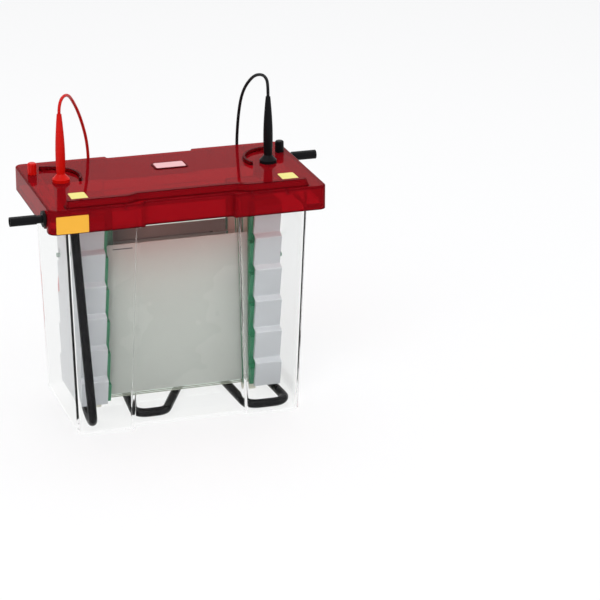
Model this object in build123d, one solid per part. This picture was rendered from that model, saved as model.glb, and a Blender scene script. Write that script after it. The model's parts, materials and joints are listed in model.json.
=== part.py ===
from build123d import *
import math
import os

os.makedirs("parts", exist_ok=True)

# A vertical slab gel electrophoresis unit: a clear buffer tank, a lift-out gel
# module that clamps two glass sandwiches with wave-shaped wedge clamps, a black
# cooling tube on the tank floor and a red safety lid with two power leads.
# Millimetres. +X runs to the right along the long side, +Y to the back, +Z up.
# The origin is on the bench under the middle of the tank.

# Driving dimensions of the lid
LID_LENGTH = 280.0
LID_DEPTH = 161.0
DECK_TOP = 240.0
SKIRT_BOTTOM = 215.5
DECK_THICK = 3.0
SKIRT_WALL = 2.6
LID_CORNER_R = 8.0
RECESS_HALF_WIDTH = 44.8
RECESS_DEPTH = 5.3
RECESS_CORNER_R = 2.2
LID_EDGE_R = 1.6
RIDGE_HEIGHT = 7.0
PLAQUE = (34.0, 20.0, 0.8)
PLAQUE_CENTRE = (9.0, 30.0)
GUARD_CENTRE = (120.0, 20.0)
GUARD_R = 34.0
GUARD_WIDTH = 2.2
GUARD_HEIGHT = 3.5
VENT_CENTRE = (111.0, 51.5)
VENT_SIZE = (16.0, 4.5)
SEAT_RIB_X = (64.0, 100.0)

# Driving dimensions of the tank
TANK_BOTTOM = {"length": 115.0, "depth": 73.1, "step": 57.5, "recess": 8.0}
TANK_RIM = {"length": 122.7, "depth": 77.3, "step": 48.4, "recess": 5.3}
RIM_Z = 233.5
TANK_WALL = 3.0
FLOOR_THICK = 4.0
TANK_CORNER_R = 9.0
LEDGE_Z = (216.5, 221.5)
LEDGE_GAP = 0.4

# Driving dimensions of the cooling tube
COIL_R = 4.5
COIL_BORE_R = 3.0
COIL_END_X = 175.0
COIL_SIDE_Y = 62.0
COIL_TOP_Z = 227.5
COIL_STUB_R = 4.0
GROMMET_R = 8.0
GROMMET_X = (140.6, 143.2)
SLEEVE_R = 4.7
SLEEVE_X = (149.0, 175.0)
NOTCH_R = 4.85

# Driving dimensions of the gel module
CORE_HALF_DEPTH = 18.0
CORE_X = (66.0, 98.5)
CORE_Z = (31.0, 222.0)
CHAMBER_FLOOR_Z = 62.0
FOOT_X = (78.0, 86.0)
FOOT_HALF_DEPTH = 14.0
GASKET_THICK = 2.0
GASKET_X = (64.0, 70.0)
PLATE_SIZE = 200.0
PLATE_Z = 20.0
PLATE_THICK = 4.0
NOTCH_HALF_WIDTH = 82.0
NOTCH_Z = 184.0
SPACER_THICK = 1.0
SPACER_X = (88.0, 98.0)
GEL_Z = (22.0, 181.0)
WELLS = 15
WELL_PITCH = 11.0
WELL_SIZE = (6.0, 12.0)

# Driving dimensions of the wave clamps and the green pressure bars
WAVES = 6
WAVE_PITCH = 33.65
WAVE_VALLEY_Z = 14.05
SHOULDER_HEIGHT = 3.0
WAVE_DEPTH = 7.0
WAVE_VALLEY_Y = 33.4
CLAMP_WALL = 4.0
CLAMP_Z = (17.6, 215.9)
CLAMP_X = (77.2, 104.5)
CLAMP_WEB = 3.2
CLAMP_TRAVEL = 4.2
CLAMP_EASE_R = 1.2
BAR_X = (73.0, 100.6)
BAR_Z = (19.0, 215.0)
BAR_BACK_Y = 29.05
BAR_RUN = 24.0
BAR_RELIEF_Y = 32.2
BAR_CLEARANCE = 0.05
PEG_R = 2.3
PEG_Y = 31.9
PEG_Z = 156.0
PEG_END_X = 107.5
POST_GAP_Z = 183.0
POST_GAP_HALF_WIDTH = 24.0

# Driving dimensions of the electrical parts
SOCKET_X = 107.3
SOCKET_Y = 10.8
SOCKET_BOTTOM = 216.0
CONTACT_R = 3.2
CONTACT_BORE_R = 2.05
PIN_R = 2.0
ARM_Z = (195.0, 199.0)
POST_R = 4.5
DISC_R = 7.5
DISC_Z = (208.0, 211.0)
WIRE_R = 0.3
PORT_X = 129.5
PORT_Y = 42.5
PORT_R = 5.0
PORT_BORE_R = 3.05
PORT_STEM_R = 3.0
PORT_BOTTOM = 231.0
PORT_STEM_BOTTOM = 234.0
BOOT_TOP = 309.0
BOOT_FLANGE_R = 8.75

# Driving dimensions of the leads
LEAD_D = 3.2
LOOP_PITCH = 3.9
LOOP_OUTER_R = 21.6
LOOP_BOTTOM_Z = 2.35
LOOP_INNER_EASE = 0.9
HALF_TURNS_DOWN = 4
HALF_TURNS_UP = 5
RED_LOOP = (-8.0, 126.0)
BLACK_LOOP = (80.0, 139.0)
TAIL_LENGTH = 14.0
FAR_GRIP_R = 6.2
FAR_SHROUD_R = 3.9
FAR_SHROUD_LENGTH = 18.0
TIE_WIDTH = 5.0
TIE_THICK = 0.6

# The leads leave the boots upwards, arch over the back edge of the lid, hang
# behind the tank and run along the bench into their coils.
RED_ROUTE = [
    (-107.3, 10.8, 309.0),
    (-107.3, 10.8, 322.0),
    (-98.0, 24.5, 331.0),
    (-84.0, 44.0, 321.0),
    (-71.5, 68.0, 288.0),
    (-62.5, 87.0, 250.0),
    (-62.0, 93.0, 205.0),
    (-77.0, 95.0, 162.0),
    (-92.0, 96.0, 118.0),
    (-91.0, 98.0, 72.0),
    (-74.0, 101.0, 34.0),
    (-50.0, 104.0, 9.0),
    (-30.5, 104.4, 2.35),
    (-11.2, 104.4, 2.35),
]
BLACK_ROUTE = [
    (107.3, 10.8, 309.0),
    (107.3, 10.8, 323.0),
    (105.5, 25.0, 335.0),
    (100.0, 42.0, 331.0),
    (96.0, 62.0, 305.0),
    (95.5, 81.0, 268.0),
    (98.0, 90.0, 228.0),
    (104.0, 95.0, 190.0),
    (115.0, 98.0, 150.0),
    (121.0, 101.0, 105.0),
    (120.0, 107.0, 62.0),
    (118.5, 121.0, 27.0),
    (112.0, 141.0, 6.5),
    (98.5, 160.6, 2.35),
    (83.2, 160.6, 2.35),
]


def write(shape, name):
    """Write one sub-part."""
    shape.label = name
    export_step(shape, "parts/" + name + ".step")


def both_sides(shape):
    """The shape and its half-turn copy about the upright axis."""
    return [shape, shape.rotate(Axis.Z, 180)]


def mirrored_x(shape):
    """The same piece on the other end of the unit."""
    return mirror(shape, about=Plane.YZ)


def mirrored_y(shape):
    """The same piece on the other long side of the unit."""
    return mirror(shape, about=Plane.XZ)


def box(x, y, z):
    """A block between two corners given as (low, high) pairs."""
    size = (x[1] - x[0], y[1] - y[0], z[1] - z[0])
    middle = ((x[0] + x[1]) / 2, (y[0] + y[1]) / 2, (z[0] + z[1]) / 2)
    return Pos(*middle) * Box(*size)


def stepped_outline(length, depth, step, recess, corner_r, step_r, z):
    """A rectangle at height z whose long sides step in between +-step."""
    inner = depth - recess
    points = [
        (-length, -depth), (-step, -depth), (-step, -inner), (step, -inner),
        (step, -depth), (length, -depth), (length, depth), (step, depth),
        (step, inner), (-step, inner), (-step, depth), (-length, depth),
    ]
    face = make_face(Polyline(*points, close=True))
    outer = [v for v in face.vertices() if abs(abs(v.X) - length) < 0.01]
    face = fillet(outer, corner_r)
    steps = [v for v in face.vertices() if abs(abs(v.X) - step) < 0.01]
    face = fillet(steps, step_r)
    return Pos(0, 0, z) * face


def tank_outline(z, inset):
    """The drafted tank's outline at height z, moved inwards by inset."""
    share = z / RIM_Z
    size = {}
    for key in TANK_BOTTOM:
        size[key] = TANK_BOTTOM[key] + share * (TANK_RIM[key] - TANK_BOTTOM[key])
    return stepped_outline(
        size["length"] - inset, size["depth"] - inset, size["step"] + inset,
        size["recess"], TANK_CORNER_R - inset, RECESS_CORNER_R, z)


def coil_notch(x, z_open):
    """A U-shaped slot for the cooling tube through the -X end, open to z_open."""
    low, high = sorted((COIL_TOP_Z, z_open))
    slot = box(x, (-COIL_SIDE_Y - NOTCH_R, -COIL_SIDE_Y + NOTCH_R), (low, high))
    middle = (x[0] + x[1]) / 2
    hole = Pos(middle, -COIL_SIDE_Y, COIL_TOP_Z) * Rot(0, 90, 0) * Cylinder(NOTCH_R, x[1] - x[0])
    return slot + hole


def make_tank():
    """Clear drafted tank with stepped long sides, a rim and a carrying ledge."""
    edge = 2.0
    body = loft([tank_outline(0, edge), tank_outline(edge, 0), tank_outline(RIM_Z, 0)], ruled=True)
    ledge = stepped_outline(
        LID_LENGTH / 2 - SKIRT_WALL - LEDGE_GAP, LID_DEPTH / 2 - SKIRT_WALL - LEDGE_GAP,
        RECESS_HALF_WIDTH + SKIRT_WALL + LEDGE_GAP, RECESS_DEPTH,
        LID_CORNER_R - SKIRT_WALL, RECESS_CORNER_R, LEDGE_Z[0])
    body += extrude(ledge, LEDGE_Z[1] - LEDGE_Z[0])
    body -= loft([tank_outline(FLOOR_THICK, TANK_WALL), tank_outline(RIM_Z + 1, TANK_WALL)], ruled=True)
    end_wall = (-TANK_RIM["length"] - 2, -TANK_RIM["length"] + 2 * TANK_WALL)
    for notch in both_sides(coil_notch(end_wall, RIM_Z + 1)):
        body -= notch
    return body


def ridge_outline(inset, z, end_r=1.5):
    """The front grip ridge's outline, which steps back with the lid's front."""
    end, step_out, step_in = 123.0, 60.0, 50.0
    front, back, shift = -77.0, -66.5, RECESS_DEPTH
    points = [
        (-end + inset, front + inset), (-step_out, front + inset), (-step_in, front + shift + inset),
        (step_in, front + shift + inset), (step_out, front + inset), (end - inset, front + inset),
        (end - inset, back - inset), (step_out, back - inset), (step_in, back + shift - inset),
        (-step_in, back + shift - inset), (-step_out, back - inset), (-end + inset, back - inset),
    ]
    face = make_face(Polyline(*points, close=True))
    ends = [v for v in face.vertices() if abs(v.X) > step_out + 1]
    return Pos(0, 0, z) * fillet(ends, end_r)


def make_lid():
    """Red moulded lid: shell, hollow grip ridge, sockets, ports, guards and vents."""
    half_length, half_depth = LID_LENGTH / 2, LID_DEPTH / 2
    height = DECK_TOP - SKIRT_BOTTOM
    outline = stepped_outline(
        half_length, half_depth, RECESS_HALF_WIDTH, RECESS_DEPTH,
        LID_CORNER_R, RECESS_CORNER_R, SKIRT_BOTTOM)
    shell = extrude(outline, height)
    shell = fillet(shell.faces().sort_by(Axis.Z)[-1].edges(), LID_EDGE_R)
    slope = 2.6
    shell += loft([ridge_outline(0, DECK_TOP - 1), ridge_outline(slope, DECK_TOP + RIDGE_HEIGHT)], ruled=True)
    inside = stepped_outline(
        half_length - SKIRT_WALL, half_depth - SKIRT_WALL, RECESS_HALF_WIDTH + SKIRT_WALL,
        RECESS_DEPTH, LID_CORNER_R - SKIRT_WALL, RECESS_CORNER_R, SKIRT_BOTTOM)
    shell -= extrude(inside, height - DECK_THICK)
    ridge_wall = 2.2
    shell -= loft([
        ridge_outline(ridge_wall, DECK_TOP - DECK_THICK - 1, 0.5),
        ridge_outline(ridge_wall + slope - 0.4, DECK_TOP + RIDGE_HEIGHT - ridge_wall, 0.5)], ruled=True)
    pad = Pos(PLAQUE_CENTRE[0], PLAQUE_CENTRE[1], DECK_TOP) * RectangleRounded(PLAQUE[0], PLAQUE[1], 3)
    shell += extrude(pad, PLAQUE[2])
    for x in SEAT_RIB_X:
        rib = box((x - 1, x + 1), (half_depth - 10, half_depth - 2), (RIM_Z, DECK_TOP - DECK_THICK + 1))
        for side in both_sides(rib) + both_sides(mirrored_x(rib)):
            shell += side
    for side in (1, -1):
        arc_start = 90 if side > 0 else -24
        guard = Pos(0, 0, DECK_TOP - 0.5) * trace(
            CenterArc((side * GUARD_CENTRE[0], GUARD_CENTRE[1]), GUARD_R, arc_start, 114), GUARD_WIDTH)
        shell += extrude(guard, GUARD_HEIGHT + 0.5)
        vent = Pos(side * VENT_CENTRE[0], VENT_CENTRE[1], DECK_TOP - DECK_THICK - 1)
        vent = vent * Rot(0, 0, side * -12) * SlotOverall(*VENT_SIZE)
        shell -= extrude(vent, DECK_THICK + 2)
        shell += Pos(side * SOCKET_X, SOCKET_Y, 0) * socket_horn()
        shell -= Pos(side * SOCKET_X, SOCKET_Y, DECK_TOP - 15) * Cylinder(CONTACT_R + 0.02, 40)
        port = Pos(side * PORT_X, PORT_Y, (PORT_BOTTOM + DECK_TOP - 1) / 2)
        shell += port * Cylinder(PORT_R, DECK_TOP - 1 - PORT_BOTTOM)
        shell -= Pos(side * PORT_X, PORT_Y, DECK_TOP - 5) * Cylinder(PORT_BORE_R, 30)
    skirt_end = (-half_length - 1, -half_length + SKIRT_WALL + 1)
    for notch in both_sides(coil_notch(skirt_end, SKIRT_BOTTOM - 1)):
        shell -= notch
    return shell


def socket_horn():
    """The tapered socket body that hangs under the deck, about its own axis."""
    neck_z = 222.0
    profile = Polyline(
        (0, SOCKET_BOTTOM), (5.0, SOCKET_BOTTOM), (5.0, neck_z), (6.2, neck_z),
        (8.5, DECK_TOP - 2), (0, DECK_TOP - 2), close=True)
    return revolve(Plane.XZ * make_face(profile), Axis.Z)


def make_contacts():
    """Brass sleeves in both lid sockets: leads plug in above, module pins below."""
    sleeves = []
    for side in (-1, 1):
        top = DECK_TOP - 0.5
        tube = Pos(0, 0, (SOCKET_BOTTOM + top) / 2) * Cylinder(CONTACT_R, top - SOCKET_BOTTOM)
        tube += Pos(0, 0, SOCKET_BOTTOM - 0.5) * Cylinder(4.5, 1.0)
        tube -= Pos(0, 0, DECK_TOP - 15) * Cylinder(CONTACT_BORE_R, 60)
        sleeves.append(Pos(side * SOCKET_X, SOCKET_Y, 0) * tube)
    return Compound(sleeves)


def coil_points():
    """Centre line of the cooling tube and the bend radius at each inner point."""
    floor_z = FLOOR_THICK + COIL_R
    points = [
        (-GROMMET_X[1], -COIL_SIDE_Y, COIL_TOP_Z),
        (-113.0, -COIL_SIDE_Y, COIL_TOP_Z),
        (-98.8, -65.0, floor_z),
        (-92.5, 47.0, floor_z),
        (-44.0, 47.0, floor_z),
        (-52.0, -51.0, floor_z),
        (-20.5, -51.0, floor_z),
        (28.0, 47.0, floor_z),
        (56.0, 47.0, floor_z),
        (61.5, -62.0, floor_z),
        (105.5, -63.0, floor_z),
        (98.8, 65.0, floor_z),
        (113.0, COIL_SIDE_Y, COIL_TOP_Z),
        (GROMMET_X[1], COIL_SIDE_Y, COIL_TOP_Z),
    ]
    radii = [8, 10, 14, 14, 12, 12, 12, 12, 14, 14, 10, 8]
    return points, radii


def make_coil():
    """One black tube: in through the left end, a meander on the floor, out right."""
    points, radii = coil_points()
    path = FilletPolyline(*points, radius=radii)
    start = Plane(origin=path @ 0, z_dir=path % 0)
    ring = start * (Circle(COIL_R) - Circle(COIL_BORE_R))
    tube = sweep(ring, path=path)
    stub_length = COIL_END_X - GROMMET_X[1] - 0.5
    stub = Cylinder(COIL_STUB_R, stub_length) - Cylinder(COIL_BORE_R, stub_length + 2)
    stub = Pos(-GROMMET_X[1] - stub_length / 2, -COIL_SIDE_Y, COIL_TOP_Z) * Rot(0, 90, 0) * stub
    for side in both_sides(stub):
        tube += side
    return tube


def ring_on_coil(x, outer_r, inner_r):
    """A pair of rings round the two outer ends of the cooling tube."""
    length = x[1] - x[0]
    ring = Cylinder(outer_r, length) - Cylinder(inner_r, length + 2)
    ring = Pos(-(x[0] + x[1]) / 2, -COIL_SIDE_Y, COIL_TOP_Z) * Rot(0, 90, 0) * ring
    return Compound(both_sides(ring))


def make_core():
    """Frosted core: two columns and a ribbed chamber floor, with feet and post arms."""
    column, outer = CORE_X
    low, high = CORE_Z
    points = [
        (-outer, low), (outer, low), (outer, high), (column, high),
        (column, CHAMBER_FLOOR_Z), (-column, CHAMBER_FLOOR_Z), (-column, high), (-outer, high),
    ]
    face = make_face(Polyline(*points, close=True))
    bends = [v for v in face.vertices() if abs(abs(v.X) - column) < 0.01 and v.Y < low + 40]
    face = fillet(bends, 8)
    corners = [v for v in face.vertices() if abs(abs(v.X) - outer) < 0.01]
    face = fillet(corners, 2)
    core = Pos(0, CORE_HALF_DEPTH, 0) * extrude(Plane.XZ * face, 2 * CORE_HALF_DEPTH)
    groove_depth = 4.0
    for groove_z in ((36.0, 41.0), (45.0, 57.0)):
        groove = box((-column + 3, column - 3), (-CORE_HALF_DEPTH - 1, -CORE_HALF_DEPTH + groove_depth), groove_z)
        core -= groove
        core -= mirrored_y(groove)
    for side in (-1, 1):
        foot_x = sorted((side * FOOT_X[0], side * FOOT_X[1]))
        foot = box(foot_x, (-FOOT_HALF_DEPTH, FOOT_HALF_DEPTH), (FLOOR_THICK, low + 1))
        core += chamfer(foot.edges().group_by(Axis.Z)[0].filter_by(Axis.X), 2)
        start = (side * (outer - 2) + side * SOCKET_X) / 2
        reach = SOCKET_X - outer + 2 + 2 * DISC_R
        arm = Pos(start, SOCKET_Y, ARM_Z[0]) * SlotOverall(reach, 2 * DISC_R)
        arm = extrude(arm, ARM_Z[1] - ARM_Z[0])
        column_half = box(sorted((side * (outer - 1), side * 130)), (-30, 30), (0, 240))
        core += arm & column_half
        web = make_face(Polyline(
            (side * (outer - 1), ARM_Z[0] - 8), (side * outer, ARM_Z[0] - 8),
            (side * (SOCKET_X + 3), ARM_Z[0] + 1), (side * (outer - 1), ARM_Z[0] + 1), close=True))
        core += Pos(0, SOCKET_Y + 2, 0) * extrude(Plane.XZ * web, 4)
    return core


def make_gasket():
    """U-shaped green seal between the core and the notched plate, front side."""
    inner, outer = GASKET_X
    low, high = 40.0, CORE_Z[1]
    points = [
        (-outer, low), (outer, low), (outer, high), (inner, high),
        (inner, low + 6), (-inner, low + 6), (-inner, high), (-outer, high),
    ]
    face = make_face(Polyline(*points, close=True))
    corners = [v for v in face.vertices() if v.Y < high - 1]
    face = fillet(corners, 2.5)
    return Pos(0, -CORE_HALF_DEPTH, 0) * extrude(Plane.XZ * face, GASKET_THICK)


def plate_face(notched):
    """Outline of a glass plate, with the buffer notch in its top edge or plain."""
    half = PLATE_SIZE / 2
    top = PLATE_Z + PLATE_SIZE
    points = [(-half, PLATE_Z), (half, PLATE_Z), (half, top)]
    if notched:
        points += [
            (NOTCH_HALF_WIDTH, top), (NOTCH_HALF_WIDTH, NOTCH_Z),
            (-NOTCH_HALF_WIDTH, NOTCH_Z), (-NOTCH_HALF_WIDTH, top),
        ]
    points.append((-half, top))
    face = make_face(Polyline(*points, close=True))
    if notched:
        roots = [v for v in face.vertices() if abs(v.Y - NOTCH_Z) < 0.01]
        face = fillet(roots, 6)
    outer = [v for v in face.vertices() if abs(abs(v.X) - half) < 0.01]
    return fillet(outer, 1.5)


def make_plate(y, notched):
    """A glass plate whose inner face is at distance y from the middle, front side."""
    return Pos(0, -y, 0) * extrude(Plane.XZ * plate_face(notched), PLATE_THICK)


def make_spacers(y):
    """Two spacer strips between the plates, front side."""
    strip = box(SPACER_X, (-y - SPACER_THICK, -y), (PLATE_Z, PLATE_Z + PLATE_SIZE))
    return Compound([strip, mirrored_x(strip)])


def make_gel(y):
    """The gel slab with its row of sample wells, front side."""
    half = SPACER_X[0]
    gel = box((-half, half), (-y - SPACER_THICK, -y), GEL_Z)
    for number in range(WELLS):
        x = (number - (WELLS - 1) / 2) * WELL_PITCH
        gel -= box((x - WELL_SIZE[0] / 2, x + WELL_SIZE[0] / 2), (-y - 2, -y + 1), (GEL_Z[1] - WELL_SIZE[1], GEL_Z[1] + 1))
    return gel


def wave_points(y_valley, z_low, z_high):
    """Saw-tooth line from z_low to z_high: short shoulders and long wedge faces."""
    slope = WAVE_DEPTH / (WAVE_PITCH - SHOULDER_HEIGHT)
    points = [(y_valley + slope * (z_low - WAVE_VALLEY_Z), z_low)]
    for number in range(WAVES):
        valley = WAVE_VALLEY_Z + number * WAVE_PITCH
        points.append((y_valley + WAVE_DEPTH, valley + WAVE_PITCH - SHOULDER_HEIGHT))
        points.append((y_valley, valley + WAVE_PITCH))
    points[-1] = (y_valley, z_high)
    return points


def wave_prism(y_valley, x, z, ease):
    """A block along X whose front and back follow the saw-tooth wave."""
    side = wave_points(y_valley, z[0], z[1])
    outline = side + [(-y, height) for y, height in reversed(side)]
    face = make_face(Polyline(*outline, close=True))
    inner = [v for v in face.vertices() if z[0] + 1 < v.Y < z[1] - 1]
    face = fillet(inner, ease)
    return Pos(x[0], 0, 0) * extrude(Plane.YZ * face, x[1] - x[0])


def make_clamp():
    """Right wave clamp: a wavy channel that hooks round the end of the sandwich."""
    clamp = wave_prism(WAVE_VALLEY_Y + CLAMP_WALL, CLAMP_X, CLAMP_Z, CLAMP_EASE_R)
    inside_x = (CLAMP_X[0] - 1, CLAMP_X[1] - CLAMP_WEB)
    clamp -= wave_prism(WAVE_VALLEY_Y, inside_x, (CLAMP_Z[0] - 1, CLAMP_Z[1] + 1), 0.3)
    web_x = (CLAMP_X[1] - CLAMP_WEB - 1, CLAMP_X[1] + 1)
    gap = box(web_x, (-POST_GAP_HALF_WIDTH, POST_GAP_HALF_WIDTH), (POST_GAP_Z, CLAMP_Z[1] + 1))
    clamp -= fillet(gap.edges().filter_by(Axis.X).group_by(Axis.Z)[0], 5)
    slot_height = CLAMP_TRAVEL + 2 * PEG_R + 1.4
    for side in (-1, 1):
        slot = Rot(0, 0, 90) * SlotOverall(slot_height, 2 * PEG_R + 1.9)
        slot = Plane.YZ * (Pos(side * (PEG_Y + 0.6), PEG_Z + CLAMP_TRAVEL / 2) * slot)
        clamp -= Pos(web_x[0], 0, 0) * extrude(slot, CLAMP_WEB + 2)
    return clamp


def make_bar():
    """Front right pressure bar: flat on the glass, toothed towards the clamp."""
    slope = WAVE_DEPTH / (WAVE_PITCH - SHOULDER_HEIGHT)
    face_y = WAVE_VALLEY_Y - BAR_CLEARANCE
    points = [(BAR_BACK_Y, BAR_Z[0])]
    for number in range(WAVES):
        valley = WAVE_VALLEY_Z + number * WAVE_PITCH
        low = max(valley + 0.3, BAR_Z[0])
        top = valley + BAR_RUN
        if low > BAR_Z[0]:
            points.append((BAR_RELIEF_Y, low))
        points.append((face_y + slope * (low - valley), low))
        points.append((face_y + slope * BAR_RUN, top))
        points.append((BAR_RELIEF_Y, top + 1.5))
    points.append((BAR_RELIEF_Y, BAR_Z[1]))
    points.append((BAR_BACK_Y, BAR_Z[1]))
    face = make_face(Polyline(*[(-y, z) for y, z in points], close=True))
    bar = Pos(BAR_X[0], 0, 0) * extrude(Plane.YZ * face, BAR_X[1] - BAR_X[0])
    peg_length = PEG_END_X - BAR_X[1] + 1
    bar += Pos(PEG_END_X - peg_length / 2, -PEG_Y, PEG_Z) * Rot(0, 90, 0) * Cylinder(PEG_R, peg_length)
    return bar


def make_post():
    """Right electrode post: a turned stem and nut that stand on the core's arm."""
    stem = Pos(SOCKET_X, SOCKET_Y, (ARM_Z[1] + DISC_Z[1]) / 2) * Cylinder(POST_R, DISC_Z[1] - ARM_Z[1])
    nut = Pos(SOCKET_X, SOCKET_Y, (DISC_Z[0] + DISC_Z[1]) / 2) * Cylinder(DISC_R, DISC_Z[1] - DISC_Z[0])
    return stem + chamfer(nut.edges().filter_by(GeomType.CIRCLE), 0.5)


def make_module_pin():
    """Right gold pin of the module, with a rounded tip."""
    length = 14.0
    pin = Pos(SOCKET_X, SOCKET_Y, DISC_Z[1] + length / 2) * Cylinder(PIN_R, length)
    return fillet(pin.edges().filter_by(GeomType.CIRCLE).sort_by(Axis.Z)[-1], 1.2)


def make_wire(z, half_length):
    """A platinum wire along X."""
    return Pos(0, 0, z) * Rot(0, 90, 0) * Cylinder(WIRE_R, 2 * half_length)


def make_port_cap(side):
    """A push-in port plug: ribbed head above the deck and a stem in the port."""
    x = side * PORT_X
    head = Pos(x, PORT_Y, DECK_TOP + 6) * Cylinder(4.5, 12)
    head = fillet(head.edges().filter_by(GeomType.CIRCLE).sort_by(Axis.Z)[-1], 1.8)
    for turn in range(0, 360, 45):
        flute = Pos(x, PORT_Y, DECK_TOP + 6) * Rot(0, 0, turn) * Pos(4.9, 0, 0) * Cylinder(0.8, 14)
        head -= flute
    stem = Pos(x, PORT_Y, (PORT_STEM_BOTTOM + DECK_TOP) / 2) * Cylinder(PORT_STEM_R, DECK_TOP - PORT_STEM_BOTTOM)
    return head + chamfer(stem.edges().filter_by(GeomType.CIRCLE).sort_by(Axis.Z)[0], 0.8)


def make_boot(side):
    """A lead's long slim boot on its wide shroud, about the socket's axis."""
    neck = (4.1, DECK_TOP + 8)
    waist = Spline(neck, (4.8, DECK_TOP + 32), (3.7, DECK_TOP + 54), (2.4, BOOT_TOP))
    profile = make_face(
        Polyline((0, DECK_TOP), (BOOT_FLANGE_R, DECK_TOP), (BOOT_FLANGE_R, DECK_TOP + 3), (6.2, DECK_TOP + 5.5), neck)
        + waist + Polyline((2.4, BOOT_TOP), (0, BOOT_TOP), (0, DECK_TOP)))
    return Pos(side * SOCKET_X, SOCKET_Y, 0) * revolve(Plane.XZ * profile, Axis.Z)


def make_plug_pin(side):
    """The lead's 4 mm pin, from the boot down into the lid socket."""
    length = 14.0
    pin = Pos(side * SOCKET_X, SOCKET_Y, DECK_TOP - length / 2) * Cylinder(PIN_R, length)
    return fillet(pin.edges().filter_by(GeomType.CIRCLE).sort_by(Axis.Z)[0], 0.8)


def corner_radii(points):
    """The largest tangent arc that each corner's two runs allow."""
    radii = []
    for before, here, after in zip(points, points[1:], points[2:]):
        first = Vector(*here) - Vector(*before)
        second = Vector(*after) - Vector(*here)
        turn = math.radians(first.get_angle(second))
        radii.append(0.45 * min(first.length, second.length) / math.tan(turn / 2))
    return radii


def make_lead(points, name):
    """The free stretch of a lead as one plain tube of runs and tangent arcs."""
    radii = corner_radii(points)
    path = FilletPolyline(*points, radius=radii)
    tube = sweep(Plane(origin=path @ 0, z_dir=path % 0) * Circle(LEAD_D / 2), path=path)
    section = math.pi * LEAD_D ** 2 / 4
    runs = [(Vector(*b) - Vector(*a)).length for a, b in zip(points, points[1:])]
    print(name, "length", round(path.length, 1), "smallest radius", round(min(radii), 1),
          "radii", [round(r) for r in radii], "runs", [round(r) for r in runs],
          "volume over section times length", round(tube.volume / (section * path.length), 4))
    return tube


def loop_stations():
    """Where the coiled lead crosses its own X axis: signed distance and height."""
    step = LOOP_PITCH / 2
    reach = [LOOP_OUTER_R - step * number for number in range(HALF_TURNS_DOWN + 1)]
    inner = reach[-1]
    reach.append(inner - LOOP_INNER_EASE)
    reach += [inner + step * number for number in range(1, HALF_TURNS_UP + 1)]
    stations = []
    for number, radius in enumerate(reach):
        layer = 0 if number <= HALF_TURNS_DOWN else 1
        sign = 1 if number % 2 == 0 else -1
        stations.append((sign * radius, LOOP_BOTTOM_Z + layer * LOOP_PITCH))
    return stations


def loop_path():
    """The coiled lead about its own axis: half turns with straight ends."""
    stations = loop_stations()
    edges = [Line((stations[0][0], -LEAD_D, stations[0][1]), (stations[0][0], 0, stations[0][1]))]
    for number, (first, second) in enumerate(zip(stations, stations[1:])):
        start = Vector(first[0], 0, first[1])
        end = Vector(second[0], 0, second[1])
        side = 1 if number % 2 == 0 else -1
        crown = (start + end) / 2 + Vector(0, side * (end - start).length / 2, 0)
        edges.append(ThreePointArc(start, crown, end))
    last = stations[-1]
    edges.append(Line((last[0], 0, last[1]), (last[0], LEAD_D, last[1])))
    return Wire(edges)


def loop_gap(path, samples=900):
    """The least gap between turns, measured on points along the path."""
    points = [path @ (number / samples) for number in range(samples + 1)]
    spacing = path.length / samples
    skip = int(6 * LEAD_D / spacing)
    least = 1000.0
    for number, point in enumerate(points):
        for other in points[number + skip:]:
            least = min(least, (point - other).length)
    return least - LEAD_D


def make_loop(centre, turn, path):
    """A lead's put-away coil on the bench, turned so that it starts at the front or back."""
    start = Plane(origin=path @ 0, x_dir=(1, 0, 0), z_dir=path % 0)
    tube = sweep(start * Circle(LEAD_D / 2), path=path)
    return Pos(*centre, 0) * Rot(0, 0, turn) * tube


def loop_end():
    """Where the coiled lead ends, about its own axis."""
    x, z = loop_stations()[-1]
    return (x, LEAD_D, z)


def along_tail(shape, centre, turn, distance):
    """Put a shape that is made along +Z onto the lead's end, some distance past it."""
    x, y, z = loop_end()
    return Pos(*centre, 0) * Rot(0, 0, turn) * Pos(x, y + distance, z) * Rot(-90, 0, 0) * shape


def make_tail():
    """The short straight end of a lead between its coil and its far plug."""
    return Pos(0, 0, TAIL_LENGTH / 2) * Cylinder(LEAD_D / 2, TAIL_LENGTH)


def make_far_plug():
    """A shrouded 4 mm plug: strain relief, ribbed grip and open shroud."""
    relief, grip = 10.0, 22.0
    profile = make_face(Polyline(
        (0, 0), (2.5, 0), (3.8, relief), (5.2, relief), (FAR_GRIP_R, relief + 2),
        (FAR_GRIP_R, relief + grip - 2), (5.2, relief + grip), (FAR_SHROUD_R, relief + grip),
        (FAR_SHROUD_R, relief + grip + FAR_SHROUD_LENGTH), (3.1, relief + grip + FAR_SHROUD_LENGTH),
        (3.1, relief + grip + 1), (0, relief + grip + 1), close=True))
    return revolve(Plane.XZ * profile, Axis.Z)


def make_far_pin():
    """The far plug's pin inside its shroud."""
    base = 33.0
    length = FAR_SHROUD_LENGTH - 2
    pin = Pos(0, 0, base + length / 2) * Cylinder(PIN_R, length)
    return fillet(pin.edges().filter_by(GeomType.CIRCLE).sort_by(Axis.Z)[-1], 0.8)


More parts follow.
